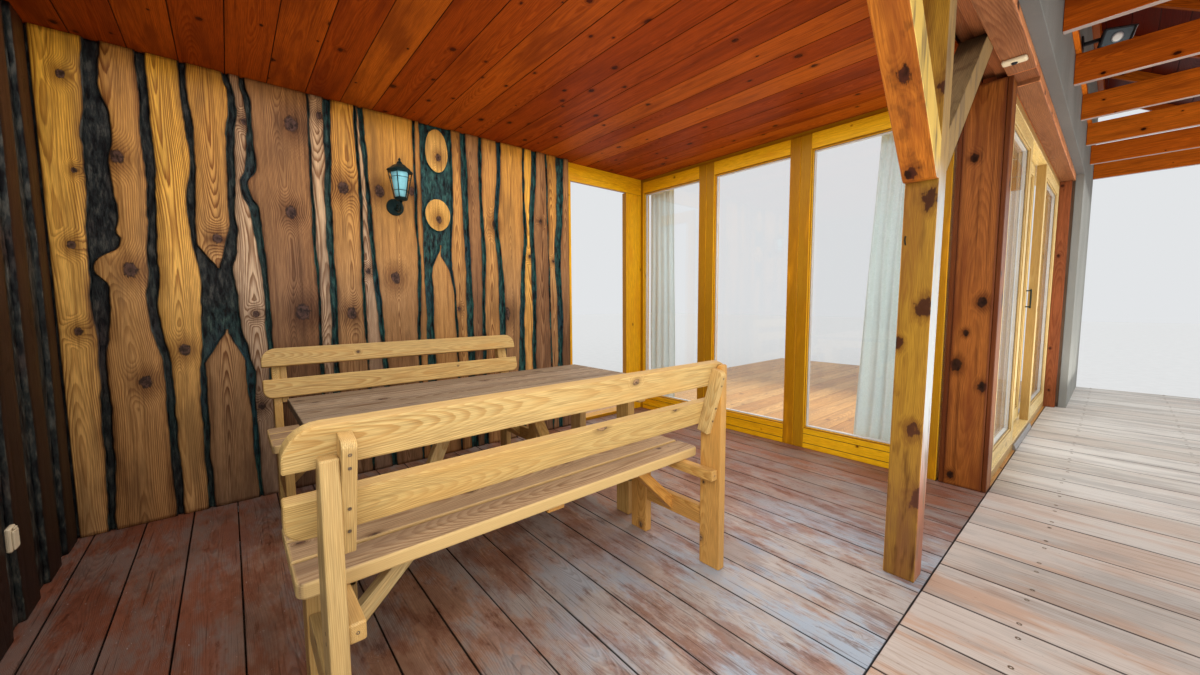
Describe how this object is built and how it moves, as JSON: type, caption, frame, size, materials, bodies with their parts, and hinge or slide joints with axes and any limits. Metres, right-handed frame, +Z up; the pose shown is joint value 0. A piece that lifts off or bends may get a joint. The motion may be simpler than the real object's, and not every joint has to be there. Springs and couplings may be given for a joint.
{
  "type": "houseboat covered porch section",
  "caption": "Covered corner porch of a wooden houseboat with glazed wall, open doorway, sliding side door, braced post, side walkway and roof, benches and table.",
  "frame": {"origin": "centre of the bounding box's foot, under the bearers", "axes": "+X along the side walkway away from the plank-clad side wall, +Y from the walkway into the porch, +Z up"},
  "size_m": [9.19, 5.31, 4.122],
  "materials": {
    "bearer_timber": "rough sawn, weathered",
    "porch_paint": "worn deck paint",
    "walkway_paint": "weathered deck paint",
    "floor_pine": "planed",
    "varnished_pine": "gloss varnish",
    "brown_pine": "satin stain",
    "red_pine": "satin stain",
    "gold_pine": "satin varnish",
    "bench_pine": "satin varnish",
    "grey_pine": "weathered",
    "pane_glass": "clear",
    "render": "fine trowelled",
    "dark_metal": "satin",
    "silver_metal": "satin",
    "cream_plastic": "satin",
    "black_plastic": "matt",
    "curtain_cloth": "sheer"
  },
  "bodies": {
    "section": {"bearer_frame": "bearer_timber", "joist_frame": "bearer_timber", "porch_deck": "porch_paint", "walkway_deck": "walkway_paint", "room_floor": "floor_pine", "upper_floor": "floor_pine", "wall_studs": "floor_pine", "back_wall_planks": "varnished_pine", "ceiling_boards": "varnished_pine", "walkway_roof_frame": "varnished_pine", "left_wall_planks": "brown_pine", "porch_post": "brown_pine", "brace_left": "brown_pine", "corner_post": "brown_pine", "porch_beam": "brown_pine", "ceiling_frame": "brown_pine", "outer_post_1": "brown_pine", "outer_post_2": "brown_pine", "outer_post_3": "brown_pine", "back_wall_core": "red_pine", "left_wall_core": "red_pine", "far_jamb": "red_pine", "walkway_roof_boards": "red_pine", "doorway_frame": "gold_pine", "glazed_wall_frame": "gold_pine", "side_set_frame": "gold_pine", "side_light_near": "gold_pine", "side_light_far": "gold_pine", "brace_right": "bench_pine", "near_bench_back": "bench_pine", "near_bench_seat": "bench_pine", "near_bench_end_left": "bench_pine", "near_bench_end_right": "bench_pine", "far_bench_back": "bench_pine", "far_bench_seat": "bench_pine", "far_bench_end_left": "bench_pine", "far_bench_end_right": "bench_pine", "table_frame": "bench_pine", "table_top": "grey_pine", "glazed_pane_1": "pane_glass", "glazed_pane_2": "pane_glass", "glazed_pane_3": "pane_glass", "side_light_near_pane": "pane_glass", "side_light_far_pane": "pane_glass", "lantern_glass": "pane_glass", "rendered_wall": "render", "lantern_body": "dark_metal", "side_threshold": "silver_metal", "curtain_rail": "silver_metal", "wall_socket": "cream_plastic", "motion_sensor": "cream_plastic", "floodlight_body": "black_plastic", "curtain_left": "curtain_cloth", "curtain_right": "curtain_cloth"},
    "entry_door": {"entry_door_leaf": "gold_pine", "entry_door_pane": "pane_glass", "entry_door_handle": "silver_metal"},
    "side_door": {"side_door_leaf": "gold_pine", "side_door_leaf_pane": "pane_glass", "side_door_handle": "dark_metal"}
  },
  "joints": [
    {"name": "entry_door_hinge", "type": "hinge", "parent": "section", "child": "entry_door", "pos_m": [-1.425, 1.719, 1.502], "axis": [0, 0, 1], "range_deg": [-90, 15]},
    {"name": "side_door_slide", "type": "slide", "parent": "section", "child": "side_door", "axis": [-1, 0, 0], "range_m": [0, 0.8]}
  ]
}
